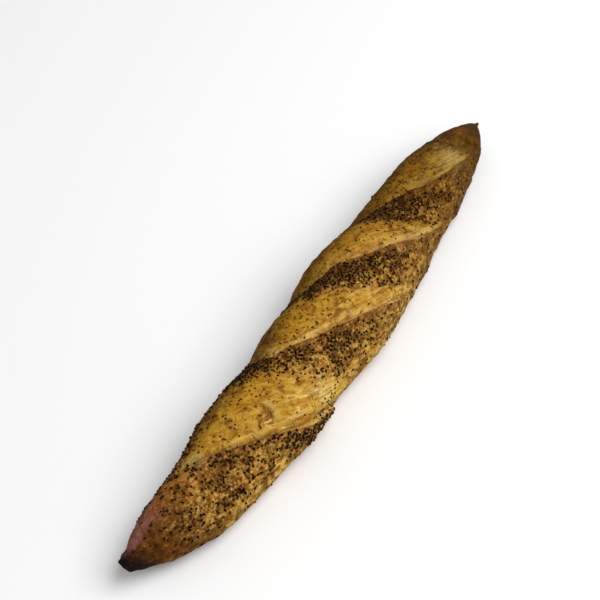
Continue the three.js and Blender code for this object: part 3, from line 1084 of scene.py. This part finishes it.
clean_side = smooth_step(-angle, 38, 56) * smooth_step(x, -75, -50)
thick = (CRUST_SEEDS + clumps**2) * (1 - 0.9 * clean_side) + PILED_SEEDS * pile_and_shade
thick = (1 - bare) * thick * (1 - 0.9 * strip)
fewer_near = 1 - 0.6 * smooth_step(angle, -20, 30)
fewer_on = 1 - smooth_step(x, 100, 150)
thick += DOUGH_SEEDS * (1 - clean_side) * bare * fewer_near * fewer_on
thick += 0.4 * bare * spot(x, angle, *STRAY_SEEDS)
rise, rise_from, rise_to = LOW_SEEDS_RISE
low_line = angle + rise * smooth_step(x, rise_from, rise_to)
low_line = low_line - 26 * spot(x, angle, *LOW_SEEDS_MORE)
thick *= 1 - 0.95 * smooth_step(low_line, *LOW_SEEDS)
thick *= 1 - smooth_step(angle, 100, 118)
thick *= 1 - smooth_step(-angle, 88, 108)
thick *= smooth_step(x, -192, -150) * (1 - smooth_step(x, 120, 148))
for share, place in THIN_SPOTS:
    thick *= 1 - share * spot(x, angle, *place)
print("thickest sowing:", round(float(thick.max()), 2))

# %% [markdown]
# ## A place for each seed
#
# Faces are drawn at random, the larger and the more thickly sown ones more often, and a seed
# lands at a random point of each. Real seeds don't lie inside each other. So far more points are
# drawn than needed, and one that falls too near to a seed is passed over. A k-d tree finds the
# neighbours quickly.

# %% Sow the seeds
SOW_SEED = 5            # the random numbers start from this
SEED_TRIES = 40000
SEED_GAP = 1.15         # no two seeds lie nearer than this
SEEDS_PER_AREA = 0.36   # seeds for each square millimetre where the thickness is 1

chance = np.random.default_rng(SOW_SEED)
corners = np.array([p.vertices[:3] for p in crust.data.polygons])
areas = np.array([p.area for p in crust.data.polygons]) / MM**2
weight = thick[corners].mean(axis=1) * areas
tries = chance.choice(len(corners), SEED_TRIES, p=weight / weight.sum())
shares = chance.dirichlet((1, 1, 1), SEED_TRIES)
spots = (skin[corners[tries]] * shares[:, :, None]).sum(axis=1)
facing = (outward[corners[tries]] * shares[:, :, None]).sum(axis=1)
on_dough = (bare[corners[tries]] * shares).sum(axis=1) > 0.5

wanted = int(weight.sum() * SEEDS_PER_AREA)
tree = kdtree.KDTree(SEED_TRIES)
for i, landing in enumerate(spots):
    tree.insert(landing, i)
tree.balance()
taken = []
kept = np.zeros(SEED_TRIES, bool)
for i, landing in enumerate(spots):
    if len(taken) == wanted:
        break
    if not any(kept[j] for _, j, _ in tree.find_range(landing, SEED_GAP)):
        kept[i] = True
        taken.append(i)
print("seeds:", len(taken), "of", wanted, "wanted")

# %% [markdown]
# ## Sticking the seeds on
#
# Each seed is a copy of the one above with its own size, tilt and turn, sunk about half way into
# the crust. The few on the dough are smaller and browner, because flour and dough cling to them.
# Two thousand objects would be slow to handle, so all copies go into one mesh, and the tone of
# each seed is stored on its points.

# %% Join them in one mesh
SEED_SUNK = 0.48        # the share of its height that is in the crust
SEED_SIZES = (0.75, 1.12)    # the smallest and largest, against the seed above
SEED_TILT = 0.25        # how much a seed leans at random
DOUGH_SEED_SIZE = 0.8   # those on the dough are smaller by this
DOUGH_SEED_TONE = 0.6   # and at least this brown

points, faces, tones = [], [], []
for i in taken:
    up = Vector(facing[i]).normalized()
    size = chance.uniform(*SEED_SIZES) * (DOUGH_SEED_SIZE if on_dough[i] else 1)
    tilt = Vector(chance.normal(0, SEED_TILT, 3))
    turn = (up + tilt).to_track_quat("Z", "Y").to_matrix()
    spin = chance.uniform(0, 2 * math.pi)
    c, s = math.cos(spin), math.sin(spin)
    flat_x, flat_y, flat_z = (seed_shape * size).T
    local = np.stack([flat_x * c - flat_y * s, flat_x * s + flat_y * c, flat_z], 1)
    centre = spots[i] + np.array(up) * SEED_TALL * size * (0.5 - SEED_SUNK)
    start = len(points) * len(seed_shape)
    points.append(local @ np.array(turn).T + centre)
    faces.extend([start + k for k in face] for face in seed_faces)
    tone = chance.uniform(DOUGH_SEED_TONE if on_dough[i] else 0, 1)
    tones.extend([tone] * len(seed_shape))

seed_mesh = bpy.data.meshes.new("poppy_seeds")
seed_mesh.from_pydata((np.concatenate(points) * MM).tolist(), [], faces)
store(seed_mesh, "tone", tones)
poppy_seeds = bpy.data.objects.new("poppy_seeds", seed_mesh)
bpy.context.collection.objects.link(poppy_seeds)
bpy.context.view_layer.objects.active = poppy_seeds
poppy_seeds.select_set(True)
bpy.ops.object.shade_smooth()
print("poppy seed faces:", len(faces))

# %% [markdown]
# ## The colour of the seeds
#
# Poppy seeds are slate blue to black, with some that are brown. Baked seeds look nearly black
# from a distance. One material serves all of them, and reads from each seed's tone which of the
# three it is.

# %% Colour the seeds
SEED_BLACK = srgb(22, 11, 2)
SEED_SLATE = srgb(28, 28, 18)
SEED_BROWN = srgb(78, 43, 12)
SEED_ROUGHNESS = 0.6
SEED_SPECULAR = 0.03

kit = NodeKit("poppy seed")
tone = kit.attribute("tone")
colour = kit.mix(kit.span(tone, 0.3, 0.6), SEED_BLACK, SEED_SLATE)
colour = kit.mix(kit.span(tone, 0.56, 0.86), colour, SEED_BROWN)
kit.link(colour, kit.shader.inputs["Base Color"])
kit.shader.inputs["Roughness"].default_value = SEED_ROUGHNESS
kit.shader.inputs["Specular IOR Level"].default_value = SEED_SPECULAR
poppy_seeds.data.materials.append(kit.material)
print("seed nodes:", len(kit.tree.nodes))

# %% [markdown]
# ## Fixing the pieces to the frame
#
# The loaf has one body and no joints, so crust and seeds both ride on "root". The crust stands
# for the CAD loaf, which is hidden under it.

# %% Fix the pieces to the frame
for piece in (crust, poppy_seeds):
    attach(piece, "root")
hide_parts("loaf")
print("pieces on root:", crust.name, poppy_seeds.name)

# %% [markdown]
# ## The stage
#
# The loaf lies on a plain pale floor in soft light. One large lamp stands on the loaf's -Y side,
# so that the ears cast a short soft shadow, and the sky fills in the rest. A small lamp would
# draw hard shadows under every seed.

# %% Floor and light
FLOOR_SIZE = 6
FLOOR_GREY = 0.9
SKY_STRENGTH = 0.46
LAMP_PLACE = Vector((0.3, -0.75, 1.3))
LAMP_SIZE = 1.6
LAMP_POWER = 25

bpy.ops.object.select_all(action="DESELECT")
bpy.ops.mesh.primitive_plane_add(size=FLOOR_SIZE, location=(0, 0, 0))
floor = bpy.context.object
floor.name = "floor"
kit = NodeKit("pale floor")
kit.shader.inputs["Base Color"].default_value = (FLOOR_GREY, FLOOR_GREY, FLOOR_GREY, 1)
kit.shader.inputs["Roughness"].default_value = 0.9
floor.data.materials.append(kit.material)

world = bpy.data.worlds.new("studio")
world.use_nodes = True
sky = world.node_tree.nodes["Background"]
sky.inputs["Color"].default_value = (1, 1, 1, 1)
sky.inputs["Strength"].default_value = SKY_STRENGTH
bpy.context.scene.world = world
bpy.context.scene.view_settings.view_transform = "Standard"


def look_from(thing, place, target):
    """Puts a camera or lamp at a place, facing a target."""
    thing.location = place
    thing.rotation_euler = (place - target).to_track_quat("Z", "Y").to_euler()


light = bpy.data.lights.new("key", "AREA")
light.size = LAMP_SIZE
light.energy = LAMP_POWER
lamp = bpy.data.objects.new("key", light)
bpy.context.collection.objects.link(lamp)
look_from(lamp, LAMP_PLACE, Vector((0, 0, 0)))
print("lamp at", [round(c, 2) for c in lamp.location])

# %% [markdown]
# ## The camera
#
# The camera looks down on the loaf from its cut tip, across its slashes. It could be placed by
# three coordinates, but turn, rise and distance are easier to think in, as when walking round
# a table. The loaf isn't in the middle of the frame, so the camera aims a little beside it.

# %% Camera
VIEW_TURN = math.radians(59.16)
VIEW_RISE = math.radians(47.91)
VIEW_DISTANCE = 1.1
LENS = 114.47
SENSOR = 36
AIM = Vector((0, 4.5, 20)) * MM
AIM_LEFT, AIM_UP = 0.01745, 0.00968

back = Vector((
    -math.sin(VIEW_TURN) * math.cos(VIEW_RISE),
    -math.cos(VIEW_TURN) * math.cos(VIEW_RISE),
    math.sin(VIEW_RISE),
))
right = Vector((math.cos(VIEW_TURN), -math.sin(VIEW_TURN), 0))
aim = AIM - right * AIM_LEFT + back.cross(right) * AIM_UP
camera = bpy.data.objects.new("camera", bpy.data.cameras.new("camera"))
camera.data.lens = LENS
camera.data.sensor_width = SENSOR
bpy.context.collection.objects.link(camera)
look_from(camera, aim + back * VIEW_DISTANCE, aim)
bpy.context.scene.camera = camera
print("camera", [round(c, 3) for c in camera.location])
